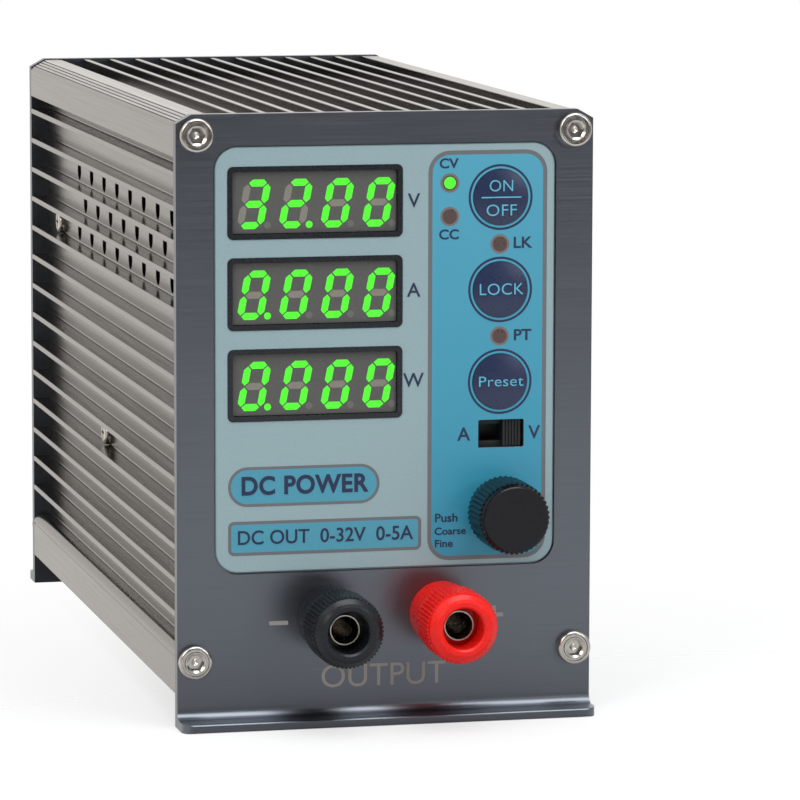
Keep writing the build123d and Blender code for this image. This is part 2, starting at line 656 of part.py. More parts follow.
def fuse_drawer():
    body = slab(INLET_X, DRAWER_Z, DRAWER_SIZE, 160.2, DEPTH + 2.6, 0.5)
    body -= block((INLET_X - 8.5, INLET_X + 8.5), (164, 170.4), (DRAWER_Z - 2.7, DRAWER_Z + 6))
    grip = block((INLET_X - 4, INLET_X + 4), (DEPTH + 2.0, DEPTH + 3.6), (DRAWER_Z - 0.6, DRAWER_Z + 0.6))
    return body + grip


def fuse():
    """Cartridge fuse across the drawer, glass and caps as one piece."""
    barrel = Pos(INLET_X, 167.2, DRAWER_Z) * Rot(0, 90, 0) * Cylinder(2.4, 16.6)
    caps = [Pos(INLET_X + side * 6.2, 167.2, DRAWER_Z) * Rot(0, 90, 0) * Cylinder(2.6, 4.2) for side in (-1, 1)]
    return barrel + caps


ROCKER_AXIS_Y = DEPTH - 1.0
ROCKER_TILT = 10.0
ROCKER_REACH = 5.2
PIVOT_RADIUS = 0.9


def power_switch_body():
    bezel = slab(ROCKER_X, ROCKER_Z, ROCKER_BEZEL, DEPTH, DEPTH + 2.0, 1.5)
    body = slab(ROCKER_X, ROCKER_Z, (13.0, 19.0), 166, DEPTH, 0.4)
    well = slab(ROCKER_X, ROCKER_Z, (10.6, 16.4), 172, DEPTH + 3, 0.4)
    blades = [slab(ROCKER_X, ROCKER_Z + z, (6.3, 0.8), 158, 166) for z in (-5, 5)]
    return bezel + body - well - rocker_pivot(PIVOT_RADIUS + FIT, 12.2) + blades


def rocker_pivot(radius, length):
    return Pos(ROCKER_X, ROCKER_AXIS_Y, ROCKER_Z) * Rot(0, 90, 0) * Cylinder(radius, length)


def power_rocker():
    """Paddle with a shallow V face and a pivot pin at each side, tipped to its on position."""
    profile = make_face(Polyline(
        (-2.5, -3.0), (2.5, -3.0), (7.4, 0.5), (7.4, 4.2), (0, ROCKER_REACH - 1.7), (-7.4, 4.2), (-7.4, 0.5),
        close=True))
    paddle = extrude(Plane((-5.1, 0, 0), x_dir=(0, 0, 1), z_dir=(-1, 0, 0)) * profile, amount=-10.2)
    tilted = Pos(ROCKER_X, ROCKER_AXIS_Y, ROCKER_Z) * Rot(ROCKER_TILT, 0, 0) * paddle
    return tilted + rocker_pivot(PIVOT_RADIUS, 11.8)


EYE = 1.4  # thickness of the guard's screw eyes


def fan_spots():
    """Screw places of the fan and its guard."""
    half = FAN_HOLES / 2
    return [(x, FAN_Z + z) for x in (-half, half) for z in (-half, half)]


def fan_frame():
    low, high = REAR_FACE - FAN_DEPTH, REAR_FACE
    frame = slab(0, FAN_Z, (FAN_SIZE, FAN_SIZE), low, high, 3) - rod(FAN_BORE, 0, FAN_Z, low - 1, high + 1)
    arms = Rectangle(2 * FAN_BORE + 1, 2.2) + Rectangle(2.2, 2 * FAN_BORE + 1)
    frame += prism(Pos(0, FAN_Z) * (arms + Circle(8)), low, low + 1.6)
    frame += rod(1.2, 0, FAN_Z, low + 1.6, low + 6)
    return frame - [rod(1.6, x, z, low - 1, high + 1) for x, z in fan_spots()]


def fan_rotor():
    """Hub with seven pitched blades."""
    low, high = REAR_FACE - FAN_DEPTH + 2.2, REAR_FACE - 0.8
    hub = rod(9.5, 0, FAN_Z, low, high)
    sweep = rod(18.3, 0, FAN_Z, low + 0.3, high - 0.3)
    for blade in range(7):
        paddle = Pos(13.5, 0, 0) * Rot(38, 0, 0) * Box(11, 1.0, 14)
        placed = Pos(0, (low + high) / 2, FAN_Z) * Rot(0, 360 / 7 * blade, 0) * paddle
        hub += placed & sweep
    return hub - rod(1.2 + FIT, 0, FAN_Z, low - 1, low + 5)


def fan_guard():
    """Wire guard: concentric rings on two crossed legs with screw eyes."""
    wire, plane = 0.7, DEPTH + 0.75
    guard = Part()
    for radius in (5.0, 9.5, 14.0, 18.5):
        guard += Pos(0, plane + 1.2, FAN_Z) * Rot(90, 0, 0) * Torus(radius, wire)
    for turn in (45, 135):
        guard += Pos(0, plane + 0.3, FAN_Z) * Rot(0, turn, 0) * Rot(0, 90, 0) * Cylinder(wire, 39.4)
    guard += [rod(3.4, x, z, DEPTH, DEPTH + EYE) for x, z in fan_spots()]
    return guard - [rod(1.7, x, z, DEPTH - 1, DEPTH + 3) for x, z in fan_spots()]


def fan_screws():
    screw = Rot(-90, 0, 0) * pan_screw(2.8, 12)
    return [Pos(x, DEPTH + EYE, z) * screw for x, z in fan_spots()]


# ---------------------------------------------------------------- wiring
def wire(points, radius, bend):
    path = FilletPolyline(*points, radius=bend)
    return sweep(Plane(path @ 0, z_dir=path % 0) * Circle(radius), path=path)


def output_wires():
    """From each solder tag under the stud, up and over the front edge of the main board."""
    tag_z, arch_z = POST_Z - 6.7, MAIN_TOP + 6.0
    wires = []
    for x in (-POST_X, POST_X):
        route = [(x, PANEL + 5.6, tag_z), (x, 15.5, tag_z), (x, 20.5, arch_z), (x, 28, arch_z), (x, 28, MAIN_TOP)]
        wires.append(wire(route, 1.1, 1.6))
    return wires


def mains_wires():
    """Live and neutral from the inlet blades down to the main board."""
    wires = []
    for pin_x, pin_z in PIN_SPOTS[1:]:
        x, z = INLET_X + pin_x, COUPLER_Z + pin_z
        route = [(x, 155, z), (x, 149, z), (x, 144, MAIN_TOP + 8), (x, 144, MAIN_TOP)]
        wires.append(wire(route, 1.3, 3))
    return wires


def ribbon_cable():
    """Flat cable from the display board's lower edge down to the main board."""
    width = 16.0
    run = block((-width / 2, width / 2), (12.4, 28.0), (33.0, 33.9))
    head = block((-width / 2 - 1, width / 2 + 1), (BOARD_FRONT + BOARD, 14.6), (31.5, 36.0))
    tail = block((-width / 2, width / 2), (27.1, 28.0), (MAIN_TOP + 4, 33.9))
    plug = block((-width / 2 - 1, width / 2 + 1), (25.4, 29.7), (MAIN_TOP, MAIN_TOP + 6))
    return run + head + tail + plug


# ---------------------------------------------------------------- write the nodes
def corner_screws(y_face, tip):
    """Four screws with their heads on y_face; tip turns them to face the front (90) or the back (-90)."""
    screw = Rot(tip, 0, 0) * socket_screw()
    return [Pos(side * x, y_face, z) * screw for x, z in CORNER_SCREWS for side in (-1, 1)]


write("case_shell", case_shell())
write("base_plate", base_plate())
write("front_panel", front_panel())
write("rear_panel", rear_panel())
write("front_screws", *corner_screws(0, 90))
write("rear_screws", *corner_screws(DEPTH, -90))

write("label_overlay", label_overlay())
write("display_bezels", *[display_bezel(z) for z in DISPLAY_ZS])
write("display_modules", *[display_module(z) for z in DISPLAY_ZS])
write("indicator_leds", *[led(x, z) for x, z in LEDS])
for key, height in BUTTON_ZS.items():
    write(f"button_{key}", button(height))
    write(f"plunger_{key}", tactile_plunger(height))
write("tactile_switches", *[tactile_switch(z) for z in BUTTON_ZS.values()])
write("slide_switch_body", slide_switch_body())
write("slide_switch_lever", switch_lever())
write("encoder_body", encoder_body())
write("encoder_nut", encoder_nut())
write("encoder_shaft", encoder_shaft())
write("encoder_slider", encoder_slider())
write("control_knob", control_knob())

for colour, post_x in (("black", -POST_X), ("red", POST_X)):
    write(f"post_cap_{colour}", post_cap(post_x))
    write(f"post_washer_{colour}", post_washer(post_x))
    write(f"post_insulator_{colour}", post_insulator(post_x))
post_xs = (-POST_X, POST_X)
write("post_studs", *[post_stud(x) for x in post_xs])
write("post_backings", *[post_backing(x) for x in post_xs])
write("post_nuts", *[post_nut(x, y) for x in post_xs for y in (PANEL + 2, PANEL + 5.6)])
write("post_tags", *[post_tag(x) for x in post_xs])

write("display_board", display_board())
write("board_spacers", *board_spacers())
write("pan_screws", *pan_screws())
write("main_board", main_board())
write("board_standoffs", *board_standoffs())
write("transformer_core", transformer_core())
write("transformer_winding", transformer_winding())
write("bulk_capacitors", *[capacitor(9, 34, x, 116) for x in (-11, 11)])
write("output_capacitors", *[capacitor(5, 20, x, 44) for x in (2, 14, 26)])
write("filter_choke", filter_choke())
write("bridge_rectifier", bridge_rectifier())
write("heat_spreaders", *heat_spreaders())
write("power_transistors", *power_transistors())

write("mains_inlet", mains_inlet())
write("inlet_pins", *inlet_pins())
write("fuse_drawer", fuse_drawer())
write("fuse", fuse())
write("power_switch_body", power_switch_body())
write("power_rocker", power_rocker())
write("fan_frame", fan_frame())
write("fan_rotor", fan_rotor())
write("fan_guard", fan_guard())
write("fan_screws", *fan_screws())
write("output_wires", *output_wires())
write("mains_wires", *mains_wires())
write("ribbon_cable", ribbon_cable())
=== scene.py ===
import json
import math
import bpy
from mathutils import Matrix, Vector


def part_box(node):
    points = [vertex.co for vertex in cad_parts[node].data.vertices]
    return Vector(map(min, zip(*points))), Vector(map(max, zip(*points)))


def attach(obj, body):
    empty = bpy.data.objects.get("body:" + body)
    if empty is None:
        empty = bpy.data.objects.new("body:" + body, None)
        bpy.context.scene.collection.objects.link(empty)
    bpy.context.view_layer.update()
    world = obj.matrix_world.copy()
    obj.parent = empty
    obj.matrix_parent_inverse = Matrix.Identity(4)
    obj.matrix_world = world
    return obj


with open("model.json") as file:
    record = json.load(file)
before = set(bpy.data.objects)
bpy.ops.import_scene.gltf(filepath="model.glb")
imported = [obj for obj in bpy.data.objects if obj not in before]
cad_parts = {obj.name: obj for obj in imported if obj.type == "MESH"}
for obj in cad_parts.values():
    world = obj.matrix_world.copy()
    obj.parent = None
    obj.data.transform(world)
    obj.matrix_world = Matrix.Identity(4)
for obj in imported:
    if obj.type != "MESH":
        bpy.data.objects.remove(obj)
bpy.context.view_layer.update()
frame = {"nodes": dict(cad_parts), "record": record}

MM = 0.001
FACE_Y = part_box("rear_panel")[1].y - 0.1863  # front face of the front panel
FILM_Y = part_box("label_overlay")[0].y  # printed face of the overlay
INK = 0.03 * MM  # thickness of a printed layer


def mid(node):
    """Middle of a CAD node's box."""
    low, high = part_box(node)
    return (low + high) / 2


# ------------------------------------------------------------------ camera, floor and light
def add_camera():
    data = bpy.data.cameras.new("camera")
    data.sensor_width = 36.0
    data.lens = 222.2
    data.clip_start = 0.05
    camera = bpy.data.objects.new("camera", data)
    camera.location = (-0.2236, FACE_Y - 0.9508, 0.1942)
    yaw, pitch, roll = (math.radians(angle) for angle in (-13.4, 90 - 7.54, 0.15))
    turn = Matrix.Rotation(yaw, 3, "Z") @ Matrix.Rotation(pitch, 3, "X") @ Matrix.Rotation(roll, 3, "Z")
    camera.rotation_euler = turn.to_euler()
    bpy.context.collection.objects.link(camera)
    bpy.context.scene.camera = camera


def add_area(name, place, target, size, energy, colour=(1, 1, 1)):
    data = bpy.data.lights.new(name, "AREA")
    data.shape = "RECTANGLE"
    data.size, data.size_y = size
    data.energy = energy
    data.color = colour
    lamp = bpy.data.objects.new(name, data)
    lamp.visible_camera = False
    lamp.location = place
    lamp.rotation_euler = (Vector(target) - Vector(place)).to_track_quat("-Z", "Y").to_euler()
    bpy.context.collection.objects.link(lamp)


FLOOR_REACH = 1.6
POOL = (0.06, -0.36, 0)  # where the table top is densest, just in front of the object
POOL_RADIUS, FADE_RADIUS = 0.1, 0.5
POOL_CLEAR = 0.25  # how see-through the table top is at the pool; it is wholly so past the fade's radius


def add_stage():
    """White table top, densest just in front of the object, that fades out into the white backdrop."""
    reach = FLOOR_REACH
    mesh = bpy.data.meshes.new("floor")
    corners = [(-reach, -reach, 0), (reach, -reach, 0), (reach, reach, 0), (-reach, reach, 0)]
    mesh.from_pydata(corners, [], [(0, 1, 2, 3)])
    floor = bpy.data.objects.new("floor", mesh)
    bpy.context.collection.objects.link(floor)
    paint = bpy.data.materials.new("floor_paint")
    paint.use_nodes = True
    tree = paint.node_tree
    shader = tree.nodes["Principled BSDF"]
    shader.inputs["Base Color"].default_value = (0.84, 0.84, 0.84, 1)
    shader.inputs["Roughness"].default_value = 0.8
    shader.inputs["Specular IOR Level"].default_value = 0.1
    coordinates = tree.nodes.new("ShaderNodeTexCoord")
    distance = tree.nodes.new("ShaderNodeVectorMath")
    distance.operation = "DISTANCE"
    distance.inputs[1].default_value = POOL
    fade = tree.nodes.new("ShaderNodeMapRange")
    fade.interpolation_type = "SMOOTHSTEP"
    fade.inputs["From Min"].default_value = POOL_RADIUS
    fade.inputs["From Max"].default_value = FADE_RADIUS
    fade.inputs["To Min"].default_value = POOL_CLEAR
    clear = tree.nodes.new("ShaderNodeBsdfTransparent")
    blend = tree.nodes.new("ShaderNodeMixShader")
    output = tree.nodes["Material Output"]
    tree.links.new(coordinates.outputs["Object"], distance.inputs[0])
    tree.links.new(distance.outputs["Value"], fade.inputs["Value"])
    tree.links.new(fade.outputs["Result"], blend.inputs["Fac"])
    tree.links.new(shader.outputs["BSDF"], blend.inputs[1])
    tree.links.new(clear.outputs["BSDF"], blend.inputs[2])
    tree.links.new(blend.outputs["Shader"], output.inputs["Surface"])
    mesh.materials.append(paint)


def add_world():
    """White backdrop; what lights the object is soft from the left, above and behind, and dim in front."""
    world = bpy.data.worlds.new("studio")
    world.use_nodes = True
    tree = world.node_tree
    back = tree.nodes["Background"]
    coordinates = tree.nodes.new("ShaderNodeTexCoord")
    split = tree.nodes.new("ShaderNodeSeparateXYZ")
    tree.links.new(coordinates.outputs["Generated"], split.inputs["Vector"])
    total = None
    for axis, start, end, colour in SOFT_SIDES:
        rise = tree.nodes.new("ShaderNodeMapRange")
        rise.interpolation_type = "SMOOTHSTEP"
        rise.inputs["From Min"].default_value = start
        rise.inputs["From Max"].default_value = end
        side = tree.nodes.new("ShaderNodeVectorMath")
        side.operation = "SCALE"
        side.inputs[0].default_value = colour
        tree.links.new(split.outputs[axis], rise.inputs["Value"])
        tree.links.new(rise.outputs["Result"], side.inputs["Scale"])
        add = tree.nodes.new("ShaderNodeVectorMath")
        add.operation = "ADD"
        if total is None:
            add.inputs[0].default_value = DIM_FRONT
        else:
            tree.links.new(total, add.inputs[0])
        tree.links.new(side.outputs["Vector"], add.inputs[1])
        total = add.outputs["Vector"]
    rays = tree.nodes.new("ShaderNodeLightPath")
    seen = tree.nodes.new("ShaderNodeMix")
    seen.data_type = "RGBA"
    seen_a, seen_b = [socket for socket in seen.inputs if socket.type == "RGBA"]
    seen_b.default_value = (1, 1, 1, 1)
    result = [socket for socket in seen.outputs if socket.type == "RGBA"][0]
    tree.links.new(rays.outputs["Is Camera Ray"], seen.inputs["Factor"])
    tree.links.new(total, seen_a)
    tree.links.new(result, back.inputs["Color"])
    back.inputs["Strength"].default_value = 1.0
    bpy.context.scene.world = world


DIM_FRONT = (0.09, 0.09, 0.095)
# Axis of the direction, where along it the light starts and is full, and its colour
SOFT_SIDES = [("Z", 0.4, 1.0, (0.72, 0.78, 0.86)), ("X", -0.25, -0.95, (0.60, 0.56, 0.50)),
              ("X", 0.45, 1.0, (0.45, 0.46, 0.48)), ("Y", 0.0, 0.85, (0.75, 0.72, 0.685))]
bpy.context.scene.view_settings.view_transform = "Standard"
add_camera()
add_stage()
add_world()
add_area("key_left", (-1.0, -1.2, 0.9), (0, -0.08, 0.06), (0.6, 0.8), 8, (1.0, 0.97, 0.93))
add_area("top_soft", (0.15, -0.55, 1.1), (0.0, -0.35, 0), (0.9, 0.9), 9)
add_area("fill_front", (0.8, -1.2, 0.5), (0, -0.08, 0.05), (0.5, 0.5), 3.6)
add_area("rear_card", (0.55, 1.4, 0.72), (0, 0, 0.12), (1.3, 0.9), 1.6)


# ------------------------------------------------------------------ materials
def shader_of(material):
    return material.node_tree.nodes["Principled BSDF"]


def new_material(name, colour, roughness, metallic=0.0, **sockets):
    """A plain principled material; sockets are further constant inputs by name."""
    material = bpy.data.materials.new(name)
    material.use_nodes = True
    shader = shader_of(material)
    shader.inputs["Base Color"].default_value = (*colour, 1)
    shader.inputs["Roughness"].default_value = roughness
    shader.inputs["Metallic"].default_value = metallic
    for key, value in sockets.items():
        shader.inputs[key.replace("_", " ")].default_value = value
    return material


def add_noise(material, scale):
    """Noise over the object's own coordinates; scale is repeats per metre along X, Y and Z."""
    tree = material.node_tree
    coordinates = tree.nodes.new("ShaderNodeTexCoord")
    mapping = tree.nodes.new("ShaderNodeMapping")
    mapping.inputs["Scale"].default_value = scale
    noise = tree.nodes.new("ShaderNodeTexNoise")
    noise.inputs["Scale"].default_value = 1.0
    noise.inputs["Detail"].default_value = 3.0
    tree.links.new(coordinates.outputs["Object"], mapping.inputs["Vector"])
    tree.links.new(mapping.outputs["Vector"], noise.inputs["Vector"])
    return noise.outputs["Fac"]


NOISE_LOW, NOISE_HIGH = 0.3, 0.7  # the noise's usual range


def vary_roughness(material, value, low, high):
    tree = material.node_tree
    node = tree.nodes.new("ShaderNodeMapRange")
    node.inputs["From Min"].default_value = NOISE_LOW
    node.inputs["From Max"].default_value = NOISE_HIGH
    node.inputs["To Min"].default_value = low
    node.inputs["To Max"].default_value = high
    tree.links.new(value, node.inputs["Value"])
    tree.links.new(node.outputs["Result"], shader_of(material).inputs["Roughness"])


def vary_colour(material, value, dark, light):
    tree = material.node_tree
    ramp = tree.nodes.new("ShaderNodeValToRGB")
    ramp.color_ramp.elements[0].position = NOISE_LOW
    ramp.color_ramp.elements[1].position = NOISE_HIGH
    ramp.color_ramp.elements[0].color = (*dark, 1)
    ramp.color_ramp.elements[1].color = (*light, 1)
    tree.links.new(value, ramp.inputs["Fac"])
    tree.links.new(ramp.outputs["Color"], shader_of(material).inputs["Base Color"])


def add_bump(material, value, height):
    """Bump of a height in metres."""
    tree = material.node_tree
    bump = tree.nodes.new("ShaderNodeBump")
    bump.inputs["Distance"].default_value = height
    tree.links.new(value, bump.inputs["Height"])
    tree.links.new(bump.outputs["Normal"], shader_of(material).inputs["Normal"])


def tint(colour, factor):
    return tuple(channel * factor for channel in colour)


def metal(name, colour, roughness, grain, height, contrast=0.06):
    """Metal with a directional or even grain."""
    material = new_material(name, colour, roughness, 1.0)
    noise = add_noise(material, grain)
    vary_colour(material, noise, tint(colour, 1 - contrast), tint(colour, 1 + contrast))
    vary_roughness(material, noise, roughness - 0.04, roughness + 0.04)
    add_bump(material, noise, height)
    return material


def plastic(name, colour, roughness, grain=2500.0, height=0.00001, contrast=0.08, **sockets):
    """Moulded plastic with a fine skin."""
    material = new_material(name, colour, roughness, 0.0, **sockets)
    noise = add_noise(material, (grain, grain, grain))
    vary_colour(material, noise, tint(colour, 1 - contrast), tint(colour, 1 + contrast))
    vary_roughness(material, noise, roughness - 0.05, roughness + 0.05)
    add_bump(material, noise, height)
    return material


MATERIALS = {
    "shell_anodised": metal("shell_anodised", (0.225, 0.213, 0.199), 0.2, (1900, 25, 1900), 0.000003, 0.04),
    "panel_anodised": metal("panel_anodised", (0.16, 0.174, 0.197), 0.32, (40, 4500, 4500), 0.000002, 0.05),
    "nickel_screws": metal("nickel_screws", (0.56, 0.53, 0.49), 0.22, (900, 900, 900), 0.000001),
    "overlay_film": plastic("overlay_film", (0.27, 0.382, 0.41), 0.33, 1800, 0.000004, 0.03),
    "key_film": plastic("key_film", (0.014, 0.024, 0.070), 0.32, 1800, 0.000004),
    "display_frame": plastic("display_frame", (0.010, 0.012, 0.016), 0.25),
    "display_face": plastic("display_face", (0.085, 0.085, 0.08), 0.45),
    "led_lens": plastic("led_lens", (0.085, 0.055, 0.053), 0.3, 900, 0.000001, 0.03),
    "black_plastic": plastic("black_plastic", (0.012, 0.013, 0.016), 0.45, 1500, 0.000008,
                             Specular_IOR_Level=0.4),
    "knob_plastic": plastic("knob_plastic", (0.005, 0.005, 0.007), 0.2, 1500, 0.000001,
                            Specular_IOR_Level=0.26),
    "red_plastic": plastic("red_plastic", (0.80, 0.010, 0.006), 0.3, 1500, 0.000002, 0.03,
                           Specular_IOR_Level=0.3),
    "post_black_plastic": plastic("post_black_plastic", (0.006, 0.008, 0.011), 0.3, 1500, 0.000002,
                                  Specular_IOR_Level=0.35),
    "nickel_brass": metal("nickel_brass", (0.42, 0.38, 0.32), 0.25, (900, 900, 900), 0.000002),
    "plated_steel": metal("plated_steel", (0.60, 0.60, 0.60), 0.3, (800, 800, 800), 0.00001),
    "circuit_board": plastic("circuit_board", (0.015, 0.12, 0.05), 0.4, 600, 0.00002),
    "ferrite": plastic("ferrite", (0.05, 0.05, 0.055), 0.6),
    "winding_tape": plastic("winding_tape", (0.65, 0.45, 0.05), 0.35),
    "capacitor_sleeve": plastic("capacitor_sleeve", (0.015, 0.02, 0.05), 0.3),
    "copper_winding": plastic("copper_winding", (0.45, 0.16, 0.05), 0.3),
    "package_epoxy": plastic("package_epoxy", (0.02, 0.02, 0.02), 0.55),
    "bare_aluminium": metal("bare_aluminium", (0.72, 0.72, 0.73), 0.35, (40, 900, 900), 0.00002),
    "wire_sleeve": plastic("wire_sleeve", (0.35, 0.02, 0.02), 0.4),
    "ribbon_grey": plastic("ribbon_grey", (0.45, 0.46, 0.47), 0.5),
    "fuse_glass": plastic("fuse_glass", (0.7, 0.74, 0.74), 0.08),
    "tin_plate": metal("tin_plate", (0.66, 0.65, 0.62), 0.3, (900, 900, 900), 0.00001),
}


def dress_cad_nodes():
    for part in frame["record"]["subparts"]:
        shown = frame["nodes"][part["node"]]
        for slot in shown.material_slots:
            slot.material = MATERIALS[part["material_slot"]]


dress_cad_nodes()


# ------------------------------------------------------------------ printed and lit pieces
def arc(centre_x, centre_z, radius, start, end, steps=8):
    points = []
    for step in range(steps + 1):
        angle = math.radians(start + (end - start) * step / steps)
        points.append((centre_x + radius * math.cos(angle), centre_z + radius * math.sin(angle)))
    return points


def rounded(x0, x1, z0, z1, radius):
    """Outline of a rectangle with round corners, in metres."""
    left, right, low, high = x0 + radius, x1 - radius, z0 + radius, z1 - radius
    return (arc(right, high, radius, 0, 90) + arc(left, high, radius, 90, 180)
            + arc(left, low, radius, 180, 270) + arc(right, low, radius, 270, 360))


def ring_of(centre_x, centre_z, radius):
    return arc(centre_x, centre_z, radius, 0, 360, 48)[:-1]


def link(piece, material, body):
    bpy.context.collection.objects.link(piece)
    piece.data.materials.append(MATERIALS[material] if isinstance(material, str) else material)
    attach(piece, body)
    return piece


def printed(name, outlines, y, material, body="chassis"):
    """A flat printed shape facing the front; inner outlines are holes."""
    curve = bpy.data.curves.new(name, "CURVE")
    curve.dimensions = "2D"
    curve.fill_mode = "BOTH"
    curve.extrude = INK / 2
    for outline in outlines:
        spline = curve.splines.new("POLY")
        spline.points.add(len(outline) - 1)
        for point, (x, z) in zip(spline.points, outline):
            point.co = (x, z, 0, 1)
        spline.use_cyclic_u = True
    piece = bpy.data.objects.new(name, curve)
    piece.rotation_euler = (math.pi / 2, 0, 0)
    piece.location = (0, y, 0)
    return link(piece, material, body)


CAPITAL = 0.73  # height of the typeface's capitals at size 1


def lettering(name, words, place, height, material, y, body="chassis",
              align="CENTER", weight=0.0, stretch=1.0, gap=1.0):
    """Words with a given capital height at place = (x, z); weight thickens them, gap spaces them."""
    text = bpy.data.curves.new(name, "FONT")
    text.body = words
    text.align_x = align
    text.align_y = "CENTER"
    text.size = height / CAPITAL
    text.offset = weight
    text.space_character = gap
    text.extrude = INK / 2
    text.resolution_u = 6
    piece = bpy.data.objects.new(name, text)
    piece.rotation_euler = (math.pi / 2, 0, 0)
    piece.scale = (stretch, 1, 1)
    piece.location = (place[0], y, place[1])
    return link(piece, material, body)


NAVY = plastic("navy_ink", (0.010, 0.020, 0.065), 0.5, height=0.000002)
GREY_INK = plastic("grey_ink", (0.13, 0.14, 0.15), 0.4)
LAMP_GREY = plastic("lamp_grey", (0.17, 0.15, 0.145), 0.45)
PALE_INK = plastic("pale_ink", (0.11, 0.42, 0.60), 0.4)
PLATE_INK = plastic("plate_ink", (0.062, 0.295, 0.41), 0.33, 1800, 0.000004, 0.03)
ENGRAVED = plastic("engraved_grey", (0.31, 0.29, 0.27), 0.6)


def shaded_column_material():
    """Bright blue print with painted shade: darker towards the bottom and lighter towards the top, as the
    light falls on it.
    """
    material = new_material("blue_ink_painted_shade", (0.06, 0.33, 0.48), 0.33)
    tree = material.node_tree
    coordinates = tree.nodes.new("ShaderNodeTexCoord")
    split = tree.nodes.new("ShaderNodeSeparateXYZ")
    reach = tree.nodes.new("ShaderNodeMapRange")
    ramp = tree.nodes.new("ShaderNodeValToRGB")
    reach.inputs["From Min"].default_value = 0.032
    reach.inputs["From Max"].default_value = 0.115
    # painted shade: the blue runs from darker at the column's foot to lighter at its top
    ramp.color_ramp.elements[0].color = (0.028, 0.265, 0.405, 1)
    ramp.color_ramp.elements[1].color = (0.078, 0.34, 0.475, 1)
    tree.links.new(coordinates.outputs["Object"], split.inputs["Vector"])
    tree.links.new(split.outputs["Y"], reach.inputs["Value"])
    tree.links.new(reach.outputs["Result"], ramp.inputs["Fac"])
    tree.links.new(ramp.outputs["Color"], shader_of(material).inputs["Base Color"])
    add_bump(material, add_noise(material, (1800, 1800, 1800)), 0.000004)
    return material


BLUE_INK_AND_SHADE = shaded_column_material()
COLUMN = (8.65 * MM, 33.1 * MM, 32.05 * MM, 114.55 * MM)
COLUMN_CORNER = 4.4 * MM
COLUMN_BORDER = 0.85 * MM
KEYS = {"on_off": mid("button_on_off"), "lock": mid("button_lock"), "preset": mid("button_preset")}
KEY_RADIUS = 5.7 * MM
KEY_RING = 6.6 * MM
KEY_RING_LINE = 0.45 * MM
LEDS = {"cv": (13.05 * MM, 108.1 * MM), "cc": (13.05 * MM, 101.4 * MM),
        "lk": (23.4 * MM, 95.7 * MM), "pt": (23.4 * MM, 77.2 * MM)}
LAMP_LENS = 1.2 * MM
LAMP_RING = 1.95 * MM
KNOB = mid("control_knob")
SLIDE_BODY = mid("slide_switch_body")
WINDOW = (4.75 * MM, 2.85 * MM)  # half size of the slide switch's window
WINDOW_CORNER = 0.4 * MM
LED_HOLE = 1.55 * MM
SHAFT_HOLE = 3.6 * MM


def window_outline():
    x, z = SLIDE_BODY.x, SLIDE_BODY.z
    return rounded(x - WINDOW[0], x + WINDOW[0], z - WINDOW[1], z + WINDOW[1], WINDOW_CORNER)


def add_column():
    x0, x1, z0, z1 = COLUMN
    border = COLUMN_BORDER
    inner = rounded(x0 + border, x1 - border, z0 + border, z1 - border, COLUMN_CORNER - border)
    outer = rounded(x0, x1, z0, z1, COLUMN_CORNER)
    y = FILM_Y - INK / 2
    printed("column_border", [outer, inner], y, GREY_INK)
    holes = [ring_of(key.x, key.z, KEY_RADIUS) for key in KEYS.values()]
    holes += [ring_of(x, z, LED_HOLE) for x, z in LEDS.values()]
    holes += [window_outline(), ring_of(KNOB.x, KNOB.z, SHAFT_HOLE)]
    printed("column_field", [inner] + holes, y, BLUE_INK_AND_SHADE)
    for name, key in KEYS.items():
        line = [ring_of(key.x, key.z, KEY_RING), ring_of(key.x, key.z, KEY_RING - KEY_RING_LINE)]
        printed(f"key_ring_{name}", line, y - INK, NAVY)
    for name, (x, z) in LEDS.items():
        printed(f"lamp_ring_{name}", [ring_of(x, z, LAMP_RING), ring_of(x, z, LAMP_LENS)], y - INK, LAMP_GREY)


def add_plate(name, box, corner, border):
    """Blue plate with a grey border; box is its left, right, lower and upper edge in mm."""
    x0, x1, z0, z1 = [value * MM for value in box]
    outer = rounded(x0, x1, z0, z1, corner)
    inner = rounded(x0 + border, x1 - border, z0 + border, z1 - border, corner - border)
    y = FILM_Y - INK / 2
    printed(f"{name}_border", [outer, inner], y, GREY_INK)
    printed(f"{name}_field", [inner], y, PLATE_INK)


def add_lettering():
    y = FILM_Y - INK * 1.5
    for word, z in (("V", 104.6), ("A", 86.7), ("W", 68.6)):
        lettering(f"unit_{word}", word, (5.7 * MM, z * MM), 2.9 * MM, NAVY, y, weight=0.00004)
    for word, x, z, height in (("CV", 12.8, 111.9, 2.0), ("CC", 12.9, 97.7, 2.0),
                               ("LK", 28.0, 95.8, 2.3), ("PT", 28.1, 77.2, 2.3)):
        lettering(f"mark_{word}", word, (x * MM, z * MM), height * MM, NAVY, y, weight=0.00007, stretch=1.08)
    for word, x in (("A", 16.1), ("V", 30.7)):
        lettering(f"mode_{word}", word, (x * MM, 57.4 * MM), 2.8 * MM, NAVY, y, weight=0.00006)
    for word, z, height in (("Push", 40.6, 1.75), ("Coarse", 37.9, 1.5), ("Fine", 35.4, 1.55)):
        lettering(f"hint_{word}", word, (10.1 * MM, z * MM), height * MM, NAVY, y, align="LEFT",
                  weight=0.00005, stretch=1.08)
    lettering("name_words", "DC POWER", (-16.65 * MM, 48.2 * MM), 3.7 * MM, NAVY, y - INK, weight=0.00016,
              stretch=0.94, gap=1.06)
    lettering("rating_words", "DC OUT  0-32V  0-5A", (-12.35 * MM, 37.85 * MM), 2.9 * MM, NAVY, y - INK,
              weight=0.00005, stretch=0.965)


